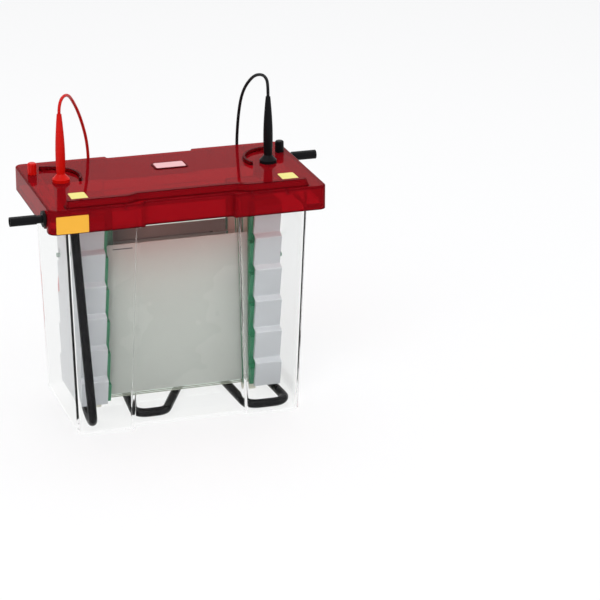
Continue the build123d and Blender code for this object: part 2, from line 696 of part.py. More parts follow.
def make_tie(centre, turn):
    """The strap that holds a coil's turns together."""
    low_r, high_r = 11.1, 23.6
    low_z, high_z = 0.68, LOOP_BOTTOM_Z + LOOP_PITCH + LEAD_D / 2 + 0.1
    middle = (-(low_r + high_r) / 2, (low_z + high_z) / 2)
    size = (high_r - low_r, high_z - low_z)
    band = RectangleRounded(size[0] + 2 * TIE_THICK, size[1] + 2 * TIE_THICK, 1.5)
    band = band - RectangleRounded(size[0], size[1], 0.9)
    strap = Pos(0, TIE_WIDTH / 2, 0) * extrude(Plane.XZ * Pos(*middle) * band, TIE_WIDTH)
    return Pos(*centre, 0) * Rot(0, 0, turn) * strap


write(make_tank(), "tank")
write(make_coil(), "cooling_coil")
write(ring_on_coil(GROMMET_X, GROMMET_R, COIL_R + 0.02), "coil_grommets")
write(ring_on_coil(SLEEVE_X, SLEEVE_R, COIL_STUB_R + 0.02), "coil_hose_ends")

write(make_lid(), "lid")
write(make_contacts(), "socket_contacts")
write(make_port_cap(-1), "red_port_cap")
write(make_port_cap(1), "black_port_cap")

write(make_core(), "core_frame")
notched_y = CORE_HALF_DEPTH + GASKET_THICK
gel_y = notched_y + PLATE_THICK
outer_y = gel_y + SPACER_THICK
sandwich = {
    "gasket": make_gasket(),
    "notched_plate": make_plate(notched_y, True),
    "spacers": make_spacers(gel_y),
    "gel": make_gel(gel_y),
    "outer_plate": make_plate(outer_y, False),
}
for piece, shape in sandwich.items():
    write(shape, "front_" + piece)
    write(mirrored_y(shape), "back_" + piece)
write(make_wire(72.0, CORE_X[0]), "cathode_wire")
write(make_wire(26.0, FOOT_X[0]), "anode_wire")

clamp = make_clamp()
bar = make_bar()
post = make_post()
module_pin = make_module_pin()
write(clamp, "right_wave_clamp")
write(mirrored_x(clamp), "left_wave_clamp")
write(bar, "front_right_pressure_bar")
write(mirrored_x(bar), "front_left_pressure_bar")
write(mirrored_y(bar), "back_right_pressure_bar")
write(mirrored_x(mirrored_y(bar)), "back_left_pressure_bar")
write(post, "right_electrode_post")
write(mirrored_x(post), "left_electrode_post")
write(module_pin, "right_module_pin")
write(mirrored_x(module_pin), "left_module_pin")

coiled = loop_path()
print("coiled lead length", round(coiled.length, 1), "least gap to itself", round(loop_gap(coiled), 2))
leads = {
    "red": (-1, RED_ROUTE, RED_LOOP, -90),
    "black": (1, BLACK_ROUTE, BLACK_LOOP, 90),
}
for colour, (side, route, centre, turn) in leads.items():
    write(make_boot(side), colour + "_plug_boot")
    write(make_plug_pin(side), colour + "_plug_pin")
    write(make_lead(route, colour + " lead"), colour + "_lead")
    write(make_loop(centre, turn, coiled), colour + "_lead_coil")
    write(make_tie(centre, turn), colour + "_lead_tie")
    write(along_tail(make_tail(), centre, turn, 0), colour + "_lead_tail")
    write(along_tail(make_far_plug(), centre, turn, TAIL_LENGTH), colour + "_far_plug")
    write(along_tail(make_far_pin(), centre, turn, TAIL_LENGTH), colour + "_far_plug_pin")
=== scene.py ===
import json
import math

import bpy
from mathutils import Matrix, Vector


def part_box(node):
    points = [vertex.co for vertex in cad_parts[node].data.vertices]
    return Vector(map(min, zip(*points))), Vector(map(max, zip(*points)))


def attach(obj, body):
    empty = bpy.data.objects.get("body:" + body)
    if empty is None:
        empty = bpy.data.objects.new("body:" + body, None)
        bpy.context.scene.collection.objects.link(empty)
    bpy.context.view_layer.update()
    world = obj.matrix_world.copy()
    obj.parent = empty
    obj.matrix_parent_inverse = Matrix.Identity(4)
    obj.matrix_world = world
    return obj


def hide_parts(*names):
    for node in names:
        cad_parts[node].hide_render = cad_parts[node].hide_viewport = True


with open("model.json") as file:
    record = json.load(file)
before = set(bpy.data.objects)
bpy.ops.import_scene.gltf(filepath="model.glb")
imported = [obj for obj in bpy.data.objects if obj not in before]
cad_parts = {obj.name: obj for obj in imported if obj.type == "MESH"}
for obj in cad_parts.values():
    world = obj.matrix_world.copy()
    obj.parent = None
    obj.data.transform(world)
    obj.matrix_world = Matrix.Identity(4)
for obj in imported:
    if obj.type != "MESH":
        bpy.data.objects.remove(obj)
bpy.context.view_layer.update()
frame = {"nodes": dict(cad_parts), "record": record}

bl_info = {
    "name": "Vertical gel tank",
    "version": (1, 0, 0),
    "blender": (4, 5, 0),
    "location": "View3D > Sidebar > Gel tank",
    "description": "Leads, plates, trim and finishes for a vertical gel tank with a red lid",
    "category": "Object",
}

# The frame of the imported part: +X to the right, +Y to the back, +Z up. Blender
# works in metres. The leads' routes and coils are in millimetres.
MM = 0.001

# The leads' free stretches from the boots to the coils on the bench. They run
# near the part's own lead tubes, but follow the photograph more closely.
RED_ROUTE = [
    (-107.3, 10.8, 309.0),
    (-107.3, 10.8, 316.0),
    (-103.0, 17.0, 323.5),
    (-94.5, 30.0, 323.0),
    (-86.0, 46.0, 313.0),
    (-73.0, 67.0, 288.0),
    (-61.0, 87.0, 250.0),
    (-60.5, 93.0, 205.0),
    (-79.0, 95.0, 162.0),
    (-92.0, 96.0, 118.0),
    (-91.0, 98.0, 72.0),
    (-74.0, 101.0, 34.0),
    (-50.0, 104.0, 9.0),
    (-30.5, 104.4, 2.35),
    (-11.2, 104.4, 2.35),
]
BLACK_ROUTE = [
    (107.3, 10.8, 309.0),
    (107.3, 10.8, 318.0),
    (107.8, 16.0, 326.0),
    (106.0, 28.0, 328.0),
    (101.0, 43.0, 322.5),
    (95.5, 62.0, 302.0),
    (96.5, 81.0, 268.0),
    (97.5, 90.0, 226.0),
    (104.0, 95.0, 190.0),
    (115.0, 98.0, 150.0),
    (121.0, 101.0, 105.0),
    (120.0, 107.0, 62.0),
    (118.5, 121.0, 27.0),
    (112.0, 141.0, 6.5),
    (98.5, 160.6, 2.35),
    (83.2, 160.6, 2.35),
]

# The leads' coils: a lower layer wound inwards and an upper layer wound outwards.
LOOP_PITCH = 3.9
LOOP_OUTER_R = 21.6
LOOP_BOTTOM_Z = 2.35
LOOP_INNER_EASE = 0.9
HALF_TURNS_DOWN = 4
HALF_TURNS_UP = 5
POINTS_PER_HALF_TURN = 8
TAIL_START = 3.2
TAIL_END = 17.2
CORD_STEPS = 8
CORD_ROUNDNESS = 4
LEADS = {
    "red": {"route": RED_ROUTE, "centre": (-8.0, 126.0), "turn": -90.0},
    "black": {"route": BLACK_ROUTE, "centre": (80.0, 139.0), "turn": 90.0},
}

# Thin bare plates: name, size (width, height, thickness), corner radius, place,
# finish, body and slot. The upright ones face the front.
UPRIGHT = math.radians(90)
PLATES = (
    ("skirt_plate", (0.0319, 0.0175, 0.00025), 0.0008, (-0.11745, -0.0805, 0.22495),
     "Amber plate", "lid", "lid_red"),
    # The plaque's plate is the pad's printed face left bare, and its light pink tone is a painted
    # highlight of the glossy pad.
    ("plaque_face", (0.0305, 0.0165, 0.00025), 0.002, (0.009, 0.030, 0.2408),
     "Bare plate with painted highlight", "lid", "lid_red"),
    ("left_deck_plate", (0.0165, 0.0235, 0.00022), 0.0022, (-0.1022, -0.0415, 0.240),
     "Pale plate", "lid", "lid_red"),
    ("right_deck_plate", (0.0165, 0.0235, 0.00022), 0.0022, (0.1122, -0.0415, 0.240),
     "Pale plate", "lid", "lid_red"),
    ("fill_mark", (0.0199, 0.00095, 0.00008), 0.0001, (-0.06795, -0.07665, 0.1941),
     "Fill mark ink", "tank", "tank_clear"),
)
UPRIGHT_PLATES = ("skirt_plate", "fill_mark")
CORNER_SEGMENTS = 5

# Finishes of the plates and the soft pieces: colour, lowest and highest
# roughness, cloudiness of the tone and depth of the orange peel.
PLATE_FINISHES = {
    "Amber plate": ((0.86, 0.42, 0.02), (0.3, 0.42), 0.06, 0.03),
    "Pale plate": ((0.78, 0.70, 0.16), (0.3, 0.42), 0.06, 0.03),
    # Light pink: a painted highlight of the glossy plaque pad, over the bare printed face.
    "Bare plate with painted highlight": ((0.74, 0.40, 0.41), (0.35, 0.5), 0.05, 0.05),
    "Fill mark ink": ((0.03, 0.03, 0.03), (0.5, 0.6), 0.1, 0.0),
}
SOFT_FINISHES = {
    "Seal rubber": ((0.03, 0.18, 0.09), (0.5, 0.65), 0.15, 0.1),
    "Strap": ((0.02, 0.02, 0.02), (0.5, 0.7), 0.2, 0.2),
}

# Finishes of the part's own plastic and rubber pieces by material slot, with
# the same numbers after the name, and last the specular level.
PLASTICS = {
    "coil_black": ("Coil black", (0.006, 0.006, 0.007), (0.2, 0.34), 0.2, 0.05, 0.08),
    "grommet_black": ("Grommet rubber", (0.008, 0.008, 0.008), (0.4, 0.6), 0.2, 0.2, 0.08),
    "hose_black": ("Hose rubber", (0.006, 0.006, 0.007), (0.25, 0.4), 0.2, 0.1, 0.08),
    "cap_red": ("Cap red", (0.60, 0.006, 0.004), (0.24, 0.36), 0.08, 0.05, 0.12),
    "cap_black": ("Cap black", (0.007, 0.007, 0.008), (0.24, 0.36), 0.08, 0.05, 0.08),
    "core_frosted": ("Frosted core", (0.72, 0.70, 0.60), (0.4, 0.55), 0.08, 0.1, 0.5),
    "spacer_grey": ("Spacer", (0.52, 0.56, 0.52), (0.35, 0.5), 0.06, 0.05, 0.5),
    "post_dark": ("Post dark", (0.04, 0.04, 0.045), (0.35, 0.5), 0.15, 0.1, 0.5),
    "boot_red": ("Boot red", (0.62, 0.006, 0.003), (0.3, 0.42), 0.1, 0.08, 0.12),
    "boot_black": ("Boot black", (0.006, 0.006, 0.007), (0.3, 0.42), 0.1, 0.08, 0.08),
}

# Metal finishes by material slot: name, colour, roughness range, orange peel.
METALS = {
    "contact_brass": ("Turned brass", (0.72, 0.50, 0.22), (0.2, 0.35), 0.05),
    "pin_gold": ("Gold plate", (0.85, 0.58, 0.20), (0.12, 0.25), 0.02),
    "pin_nickel": ("Nickel plate", (0.72, 0.70, 0.66), (0.15, 0.28), 0.02),
    "platinum": ("Platinum wire", (0.75, 0.74, 0.72), (0.2, 0.3), 0.02),
}

# Slots whose nodes a piece of this script replaces, and that piece's finish.
REPLACED = {
    "gasket_green": "Seal rubber",
    "gel_slab": "Cloudy gel",
    "lead_red": "Silicone red",
    "lead_black": "Silicone black",
    "tie_black": "Strap",
}

# How a copied node's triangles are merged, and how the soft pieces' sharp edges
# are rounded over: width in metres and number of segments.
MERGE_DISTANCE = 0.000002
FLAT_ANGLE = math.radians(1)
SHARP_ANGLE = math.radians(35)
SMOOTH_ANGLE = math.radians(40)
GEL_ROUNDING = (0.0003, 2)
SEAL_ROUNDING = (0.0006, 3)
STRAP_ROUNDING = (0.0002, 2)

# The studio: a table, a soft sky and three square soft boxes (name, place, side
# in metres, power in watts) that face the middle of the unit.
TABLE_SIZE = 14
TABLE_CENTRE = (0, 4.5, 0)
TABLE_GLOW = 0.72
SKY_COLOUR = (0.95, 0.97, 1.0, 1)
SKY_STRENGTH = 0.55
WHITE = (1, 1, 1, 1)
LAMPS = (
    ("Key", (-1.3, -1.5, 2.0), 1.5, 34),
    ("Fill", (1.9, -1.2, 1.3), 1.3, 14),
    ("Top", (0.2, 0.9, 2.3), 1.6, 20),
)
LAMP_AIM = (0, 0, 0.13)

# The photograph's viewpoint: yaw, pitch and roll in degrees, how far the camera
# stands right of and above the line through the origin, and the lens shift.
CAMERA_ANGLES = (17.946, 20.194, 0.148)
CAMERA_RIGHT = 0.11964
CAMERA_UP = 0.10549
CAMERA_SHIFT = (0.0200, -0.0088)
SENSOR_WIDTH = 36.0
FAR_CLIP = 50.0

# Orange peel of the mouldings and slow waves of the clear sheets: how fine their
# noise is, and how deep the bump is in metres.
PEEL_SCALE = 900.0
PEEL_DEPTH = 0.0003
WAVE_SCALE = 18.0
WAVE_DEPTH = 0.002


class LeadSettings(bpy.types.PropertyGroup):
    """Sizes and colours of the two power leads."""

    diameter: bpy.props.FloatProperty(
        name="Lead diameter", description="Outside diameter of the silicone lead",
        default=0.0032, min=0.001, max=0.01, unit="LENGTH")
    red: bpy.props.FloatVectorProperty(
        name="Red", description="Colour of the red lead", subtype="COLOR",
        default=(0.55, 0.006, 0.004), min=0.0, max=1.0)
    black: bpy.props.FloatVectorProperty(
        name="Black", description="Colour of the black lead", subtype="COLOR",
        default=(0.007, 0.007, 0.008), min=0.0, max=1.0)


class ShellSettings(bpy.types.PropertyGroup):
    """Colours of the clear mouldings and the inner parts."""

    lid: bpy.props.FloatVectorProperty(
        name="Lid", description="Tint of the transparent lid", subtype="COLOR",
        default=(0.43, 0.008, 0.016), min=0.0, max=1.0)
    # Painted shade: the dark colour mixed into the lid along its edges, where thick acrylic looks
    # dark in the light.
    lid_edge_shade: bpy.props.FloatVectorProperty(
        name="Lid edge shade", description="Painted shade along the lid's edges", subtype="COLOR",
        default=(0.03, 0.0, 0.002), min=0.0, max=1.0)
    tank: bpy.props.FloatVectorProperty(
        name="Tank", description="Tint of the clear tank", subtype="COLOR",
        default=(0.955, 0.96, 0.955), min=0.0, max=1.0)
    clamp: bpy.props.FloatVectorProperty(
        name="Clamps", description="Colour of the wave clamps", subtype="COLOR",
        default=(0.43, 0.445, 0.465), min=0.0, max=1.0)
    bar: bpy.props.FloatVectorProperty(
        name="Pressure bars", description="Colour of the pressure bars", subtype="COLOR",
        default=(0.028, 0.19, 0.09), min=0.0, max=1.0)
    plate: bpy.props.FloatVectorProperty(
        name="Glass plates", description="Tint of the glass plates", subtype="COLOR",
        default=(0.90, 0.95, 0.92), min=0.0, max=1.0)
    gel: bpy.props.FloatVectorProperty(
        name="Gel", description="Colour of the cloudy gel slabs", subtype="COLOR",
        default=(0.53, 0.53, 0.51), min=0.0, max=1.0)


class StageSettings(bpy.types.PropertyGroup):
    """Camera and light of the studio."""

    lens: bpy.props.FloatProperty(
        name="Focal length", description="Focal length on a 36 mm sensor, in millimetres",
        default=148.96, min=20.0, max=300.0, unit="CAMERA")
    distance: bpy.props.FloatProperty(
        name="Camera distance", description="From the camera to the middle of the unit",
        default=2.56004, min=0.5, max=10.0, unit="LENGTH")
    floor: bpy.props.FloatVectorProperty(
        name="Floor", description="Colour of the table", subtype="COLOR",
        default=(0.86, 0.86, 0.87), min=0.0, max=1.0)


def deselect():
    """Nothing is selected and nothing is in edit mode."""
    if bpy.context.object and bpy.context.object.mode != "OBJECT":
        bpy.ops.object.mode_set(mode="OBJECT")
    bpy.ops.object.select_all(action="DESELECT")


def seat(piece):
    """Put a piece's place into its mesh, so that its object lies at the origin."""
    deselect()
    piece.select_set(True)
    bpy.context.view_layer.objects.active = piece
    bpy.ops.object.transform_apply(location=True, rotation=True, scale=True)
    return piece


def finish_mesh(piece, name, body, material):
    """Name a piece, give it its finish and let it ride on its body."""
    piece.name = name
    piece.data.name = name
    piece.data.materials.clear()
    piece.data.materials.append(material)
    seat(piece)
    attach(piece, body)
    return piece


def new_material(name):
    """An empty node material with its output and Principled shader."""
    material = bpy.data.materials.new(name)
    material.use_nodes = True
    tree = material.node_tree
    return material, tree, tree.nodes["Principled BSDF"]


def socket(group, name, kind, side, default=None):
    """One named input or output of a node group."""
    made = group.interface.new_socket(name=name, in_out=side, socket_type=kind)
    if default is not None:
        made.default_value = default
    return made


def moulded_skin_group():
    """Moulded plastic: faint cloudy tone, uneven gloss and fine orange peel."""
    group = bpy.data.node_groups.new("Moulded skin", "ShaderNodeTree")
    socket(group, "Colour", "NodeSocketColor", "INPUT", (0.5, 0.5, 0.5, 1))
    socket(group, "Tone", "NodeSocketFloat", "INPUT", 0.1)
    socket(group, "Cloud scale", "NodeSocketFloat", "INPUT", 30.0)
    socket(group, "Peel", "NodeSocketFloat", "INPUT", 0.1)
    socket(group, "Gloss low", "NodeSocketFloat", "INPUT", 0.3)
    socket(group, "Gloss high", "NodeSocketFloat", "INPUT", 0.45)
    socket(group, "Colour", "NodeSocketColor", "OUTPUT")
    socket(group, "Roughness", "NodeSocketFloat", "OUTPUT")
    socket(group, "Normal", "NodeSocketVector", "OUTPUT")
    nodes, links = group.nodes, group.links
    into = nodes.new("NodeGroupInput")
    out = nodes.new("NodeGroupOutput")
    place = nodes.new("ShaderNodeTexCoord")
    cloud = nodes.new("ShaderNodeTexNoise")
    cloud.inputs["Detail"].default_value = 4
    peel = nodes.new("ShaderNodeTexNoise")
    peel.inputs["Detail"].default_value = 2
    peel.inputs["Scale"].default_value = PEEL_SCALE
    links.new(place.outputs["Object"], cloud.inputs["Vector"])
    links.new(place.outputs["Object"], peel.inputs["Vector"])
    links.new(into.outputs["Cloud scale"], cloud.inputs["Scale"])
    shade = nodes.new("ShaderNodeMapRange")
    shade.inputs["From Min"].default_value = 0.3
    shade.inputs["From Max"].default_value = 0.7
    links.new(cloud.outputs["Fac"], shade.inputs["Value"])
    amount = nodes.new("ShaderNodeMath")
    amount.operation = "MULTIPLY"
    links.new(shade.outputs["Result"], amount.inputs[0])
    links.new(into.outputs["Tone"], amount.inputs[1])
    darker = nodes.new("ShaderNodeMix")
    darker.data_type = "RGBA"
    darker.inputs[7].default_value = (0, 0, 0, 1)
    links.new(amount.outputs[0], darker.inputs[0])
    links.new(into.outputs["Colour"], darker.inputs[6])
    links.new(darker.outputs[2], out.inputs["Colour"])
    gloss = nodes.new("ShaderNodeMapRange")
    links.new(cloud.outputs["Fac"], gloss.inputs["Value"])
    links.new(into.outputs["Gloss low"], gloss.inputs["To Min"])
    links.new(into.outputs["Gloss high"], gloss.inputs["To Max"])
    links.new(gloss.outputs["Result"], out.inputs["Roughness"])
    bump = nodes.new("ShaderNodeBump")
    bump.inputs["Distance"].default_value = PEEL_DEPTH
    links.new(peel.outputs["Fac"], bump.inputs["Height"])
    links.new(into.outputs["Peel"], bump.inputs["Strength"])
    links.new(bump.outputs["Normal"], out.inputs["Normal"])
    return group


def polished_sheet_group():
    """Polished clear sheet: smears in the gloss and slow waves in the surface."""
    group = bpy.data.node_groups.new("Polished sheet", "ShaderNodeTree")
    socket(group, "Gloss low", "NodeSocketFloat", "INPUT", 0.01)
    socket(group, "Gloss high", "NodeSocketFloat", "INPUT", 0.06)
    socket(group, "Wave", "NodeSocketFloat", "INPUT", 0.05)
    socket(group, "Roughness", "NodeSocketFloat", "OUTPUT")
    socket(group, "Normal", "NodeSocketVector", "OUTPUT")
    nodes, links = group.nodes, group.links
    into = nodes.new("NodeGroupInput")
    out = nodes.new("NodeGroupOutput")
    place = nodes.new("ShaderNodeTexCoord")
    smear = nodes.new("ShaderNodeTexNoise")
    smear.inputs["Scale"].default_value = 26.0
    smear.inputs["Detail"].default_value = 5
    stretch = nodes.new("ShaderNodeMapping")
    stretch.inputs["Scale"].default_value = (1.0, 1.0, 0.35)
    links.new(place.outputs["Object"], stretch.inputs["Vector"])
    links.new(stretch.outputs["Vector"], smear.inputs["Vector"])
    shine = nodes.new("ShaderNodeMapRange")
    shine.inputs["From Min"].default_value = 0.45
    shine.inputs["From Max"].default_value = 0.8
    links.new(smear.outputs["Fac"], shine.inputs["Value"])
    links.new(into.outputs["Gloss low"], shine.inputs["To Min"])
    links.new(into.outputs["Gloss high"], shine.inputs["To Max"])
    links.new(shine.outputs["Result"], out.inputs["Roughness"])
    wave = nodes.new("ShaderNodeTexNoise")
    wave.inputs["Detail"].default_value = 0
    wave.inputs["Scale"].default_value = WAVE_SCALE
    links.new(place.outputs["Object"], wave.inputs["Vector"])
    bump = nodes.new("ShaderNodeBump")
    bump.inputs["Distance"].default_value = WAVE_DEPTH
    links.new(wave.outputs["Fac"], bump.inputs["Height"])
    links.new(into.outputs["Wave"], bump.inputs["Strength"])
    links.new(bump.outputs["Normal"], out.inputs["Normal"])
    return group


def edge_band_group():
    """A mask of 1 along a piece's sharp edges that fades to 0 within a radius."""
    group = bpy.data.node_groups.new("Edge band", "ShaderNodeTree")
    socket(group, "Radius", "NodeSocketFloat", "INPUT", 0.003)
    socket(group, "Reach", "NodeSocketFloat", "INPUT", 0.9)
    socket(group, "Mask", "NodeSocketFloat", "OUTPUT")
    nodes, links = group.nodes, group.links
    into = nodes.new("NodeGroupInput")
    out = nodes.new("NodeGroupOutput")
    rounded = nodes.new("ShaderNodeBevel")
    rounded.samples = 6
    links.new(into.outputs["Radius"], rounded.inputs["Radius"])
    plain = nodes.new("ShaderNodeNewGeometry")
    agree = nodes.new("ShaderNodeVectorMath")
    agree.operation = "DOT_PRODUCT"
    links.new(rounded.outputs["Normal"], agree.inputs[0])
    links.new(plain.outputs["Normal"], agree.inputs[1])
    mask = nodes.new("ShaderNodeMapRange")
    mask.inputs["From Max"].default_value = 1.0
    mask.inputs["To Min"].default_value = 1.0
    mask.inputs["To Max"].default_value = 0.0
    links.new(agree.outputs["Value"], mask.inputs["Value"])
    links.new(into.outputs["Reach"], mask.inputs["From Min"])
    links.new(mask.outputs["Result"], out.inputs["Mask"])
    return group


def moulded(name, colour, gloss, tone=0.12, peel=0.12, specular=0.5, metallic=0.0,
            cloud_scale=30.0):
    """A solid plastic, rubber or metal finish made with the moulded skin."""
    material, tree, shader = new_material(name)
    skin = tree.nodes.new("ShaderNodeGroup")
    skin.node_tree = bpy.data.node_groups["Moulded skin"]
    skin.inputs["Colour"].default_value = (*colour, 1)
    skin.inputs["Tone"].default_value = tone
    skin.inputs["Cloud scale"].default_value = cloud_scale
    skin.inputs["Peel"].default_value = peel
    skin.inputs["Gloss low"].default_value = gloss[0]
    skin.inputs["Gloss high"].default_value = gloss[1]
    tree.links.new(skin.outputs["Colour"], shader.inputs["Base Color"])
    tree.links.new(skin.outputs["Roughness"], shader.inputs["Roughness"])
    tree.links.new(skin.outputs["Normal"], shader.inputs["Normal"])
    shader.inputs["Metallic"].default_value = metallic
    shader.inputs["Specular IOR Level"].default_value = specular
    return material


def clear(name, tint, lamp_tint, ior, specular, gloss=(0.01, 0.05), wave=0.0,
          see_through=1.0, depth_tint=None, depth=0.0, edge_shade=None):
    """A clear sheet that lets the lamps through to what is behind it.

    The depth tint deepens with the thickness, and the edge shade is painted shade: a darker colour
    mixed in along the edges.
    """
    material, tree, shader = new_material(name)
    sheet = tree.nodes.new("ShaderNodeGroup")
    sheet.node_tree = bpy.data.node_groups["Polished sheet"]
    sheet.inputs["Gloss low"].default_value = gloss[0]
    sheet.inputs["Gloss high"].default_value = gloss[1]
    sheet.inputs["Wave"].default_value = wave
    tree.links.new(sheet.outputs["Roughness"], shader.inputs["Roughness"])
    tree.links.new(sheet.outputs["Normal"], shader.inputs["Normal"])
    shader.inputs["Base Color"].default_value = (*tint, 1)
    shader.inputs["Transmission Weight"].default_value = see_through
    shader.inputs["Specular IOR Level"].default_value = specular
    shader.inputs["IOR"].default_value = ior
    rays = tree.nodes.new("ShaderNodeLightPath")
    passing = tree.nodes.new("ShaderNodeBsdfTransparent")
    passing.inputs["Color"].default_value = (*lamp_tint, 1)
    mixer = tree.nodes.new("ShaderNodeMixShader")
    tree.links.new(rays.outputs["Is Shadow Ray"], mixer.inputs[0])
    tree.links.new(shader.outputs[0], mixer.inputs[1])
    tree.links.new(passing.outputs[0], mixer.inputs[2])
    tree.links.new(mixer.outputs[0], tree.nodes["Material Output"].inputs["Surface"])
    # Painted shade: the edge band mixes a dark colour into the base colour along the edges, in
    # place of the darkening that light gives thick acrylic edges.
    if edge_shade:
        band = tree.nodes.new("ShaderNodeGroup")
        band.node_tree = bpy.data.node_groups["Edge band"]
        shade = tree.nodes.new("ShaderNodeMix")
        shade.data_type = "RGBA"
        shade.inputs[6].default_value = (*tint, 1)
        shade.inputs[7].default_value = (*edge_shade, 1)
        tree.links.new(band.outputs["Mask"], shade.inputs[0])
        tree.links.new(shade.outputs[2], shader.inputs["Base Color"])
    if depth_tint:
        body = tree.nodes.new("ShaderNodeVolumeAbsorption")
        body.inputs["Color"].default_value = (*depth_tint, 1)
        body.inputs["Density"].default_value = depth
        tree.links.new(body.outputs[0], tree.nodes["Material Output"].inputs["Volume"])
    return material


def loop_stations():
    """Where a coiled lead crosses its own X axis: signed distance and height, in mm."""
    step = LOOP_PITCH / 2
    reach = [LOOP_OUTER_R - step * number for number in range(HALF_TURNS_DOWN + 1)]
    inner = reach[-1]
    reach.append(inner - LOOP_INNER_EASE)
    reach += [inner + step * number for number in range(1, HALF_TURNS_UP + 1)]
    stations = []
    for number, radius in enumerate(reach):
        layer = 0 if number <= HALF_TURNS_DOWN else 1
        sign = 1 if number % 2 == 0 else -1
        stations.append((sign * radius, LOOP_BOTTOM_Z + layer * LOOP_PITCH))
    return stations


def coiled_points():
    """Control points of a coiled lead about its own axis, in mm: round half turns."""
    stations = loop_stations()
    step = math.pi / POINTS_PER_HALF_TURN
    points = []
    for number, (first, second) in enumerate(zip(stations, stations[1:])):
        middle = (first[0] + second[0]) / 2
        radius = abs(first[0] - second[0]) / 2 / math.cos(step / 2)
        start = 0.0 if number % 2 == 0 else math.pi
        for part in range(POINTS_PER_HALF_TURN):
            share = (part + 0.5) / POINTS_PER_HALF_TURN
            angle = start + share * math.pi
            height = first[1] + share * (second[1] - first[1])
            points.append((middle + radius * math.cos(angle), radius * math.sin(angle), height))
    last_x, last_z = stations[-1]
    points.append((last_x, TAIL_START, last_z))
    points.append((last_x, TAIL_END, last_z))
    return points


def lead_points(lead):
    """A lead's whole route in metres: the free stretch, then its coil and its tail."""
    turn = Matrix.Rotation(math.radians(lead["turn"]), 3, "Z")
    shift = Vector((*lead["centre"], 0))
    route = [Vector(point) for point in lead["route"]]
    route += [turn @ Vector(point) + shift for point in coiled_points()]
    return [point * MM for point in route]


def make_lead(name, lead, diameter, material):
    """One lead as a single smooth NURBS spline with a round section."""
    curve = bpy.data.curves.new(name, "CURVE")
    curve.dimensions = "3D"
    points = lead_points(lead)
    spline = curve.splines.new("NURBS")
    spline.points.add(len(points) - 1)
    for point, place in zip(spline.points, points):
        point.co = (*place, 1.0)
    spline.order_u = 3
    spline.use_endpoint_u = True
    spline.resolution_u = CORD_STEPS
    curve.resolution_u = CORD_STEPS
    curve.bevel_depth = diameter / 2
    curve.bevel_resolution = CORD_ROUNDNESS
    curve.use_fill_caps = True
    curve.materials.append(material)
    cord = bpy.data.objects.new(name, curve)
    bpy.context.scene.collection.objects.link(cord)
    return cord


def rounded_plate(name, width, height, thickness, corner):
    """A thin plate with rounded corners that faces up, about the origin."""
    deselect()
    bpy.ops.mesh.primitive_plane_add(size=1)
    plate = bpy.context.object
    plate.name = name
    plate.scale = (width, height, 1)
    seat(plate)
    bpy.ops.object.mode_set(mode="EDIT")
    bpy.ops.mesh.select_all(action="SELECT")
    bpy.ops.mesh.bevel(offset=corner, segments=CORNER_SEGMENTS, affect="VERTICES")
    bpy.ops.mesh.select_all(action="SELECT")
    bpy.ops.mesh.extrude_region_move(TRANSFORM_OT_translate={"value": (0, 0, thickness)})
    bpy.ops.mesh.select_all(action="SELECT")
    bpy.ops.mesh.normals_make_consistent(inside=False)
    bpy.ops.object.mode_set(mode="OBJECT")
    return plate


def node_copy(node):
    """A new piece with a node's own mesh, its loose triangles merged into whole faces."""
    source = frame["nodes"][node]
    piece = bpy.data.objects.new(node + "_copy", source.data.copy())
    bpy.context.scene.collection.objects.link(piece)
    deselect()
    piece.select_set(True)
    bpy.context.view_layer.objects.active = piece
    bpy.ops.object.mode_set(mode="EDIT")
    bpy.ops.mesh.select_all(action="SELECT")
    bpy.ops.mesh.remove_doubles(threshold=MERGE_DISTANCE)
    bpy.ops.mesh.dissolve_limited(angle_limit=FLAT_ANGLE)
    bpy.ops.mesh.normals_make_consistent(inside=False)
    bpy.ops.object.mode_set(mode="OBJECT")
    return piece


def rounded_edges(piece, width, segments):
    """Round a piece's sharp edges over and shade it smooth."""
    deselect()
    piece.select_set(True)
    bpy.context.view_layer.objects.active = piece
    edge = piece.modifiers.new("Rounded edges", "BEVEL")
    edge.width = width
    edge.segments = segments
    edge.limit_method = "ANGLE"
    edge.angle_limit = SHARP_ANGLE
    bpy.ops.object.modifier_apply(modifier=edge.name)
    bpy.ops.object.shade_smooth_by_angle(angle=SMOOTH_ANGLE)


